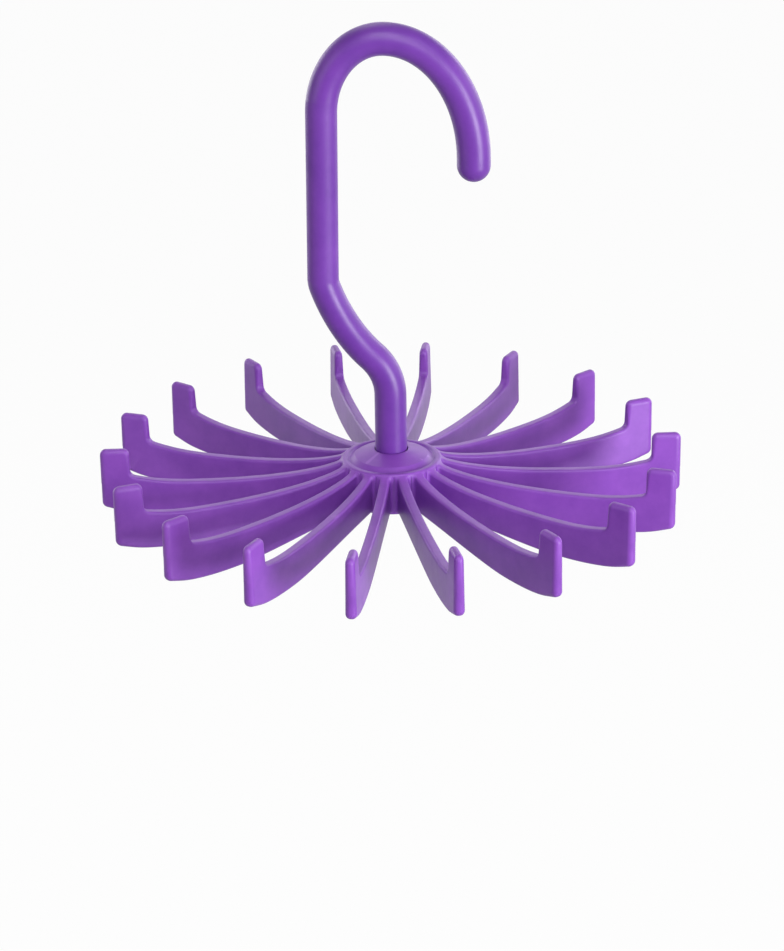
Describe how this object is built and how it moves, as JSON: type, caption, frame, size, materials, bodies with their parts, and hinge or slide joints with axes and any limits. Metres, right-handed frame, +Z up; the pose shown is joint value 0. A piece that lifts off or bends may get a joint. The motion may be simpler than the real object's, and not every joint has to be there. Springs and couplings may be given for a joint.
{
  "type": "rotating closet hook",
  "caption": "Bent plastic rod that hooks over a closet rod and carries a free-turning wheel of upright radial arms, over which neckties and belts hang.",
  "frame": {"origin": "on the wheel's axis, at the underside of the hook's crown, where the closet rod bears", "axes": "+Z up along the wheel's axis; +X towards the hook's nose, in the hook's plane; +Y away from the viewer in the picture"},
  "size_m": [0.17, 0.1686, 0.1454],
  "materials": {
    "hook_plastic": "semi-gloss purple",
    "wheel_plastic": "semi-gloss purple",
    "arm_plastic": "semi-gloss purple",
    "cap_plastic": "semi-gloss purple"
  },
  "bodies": {
    "hook": {"hook_rod": "hook_plastic", "retaining_cap": "cap_plastic"},
    "wheel": {"hub": "wheel_plastic", "arm_01": "arm_plastic", "arm_02": "arm_plastic", "arm_03": "arm_plastic", "arm_04": "arm_plastic", "arm_05": "arm_plastic", "arm_06": "arm_plastic", "arm_07": "arm_plastic", "arm_08": "arm_plastic", "arm_09": "arm_plastic", "arm_10": "arm_plastic", "arm_11": "arm_plastic", "arm_12": "arm_plastic", "arm_13": "arm_plastic", "arm_14": "arm_plastic", "arm_15": "arm_plastic", "arm_16": "arm_plastic", "arm_17": "arm_plastic", "arm_18": "arm_plastic"}
  },
  "joints": [
    {"name": "wheel_spin", "type": "hinge", "parent": "hook", "child": "wheel", "pos_m": [0, 0, -0.1234], "axis": [0, 0, 1], "continuous": true}
  ]
}
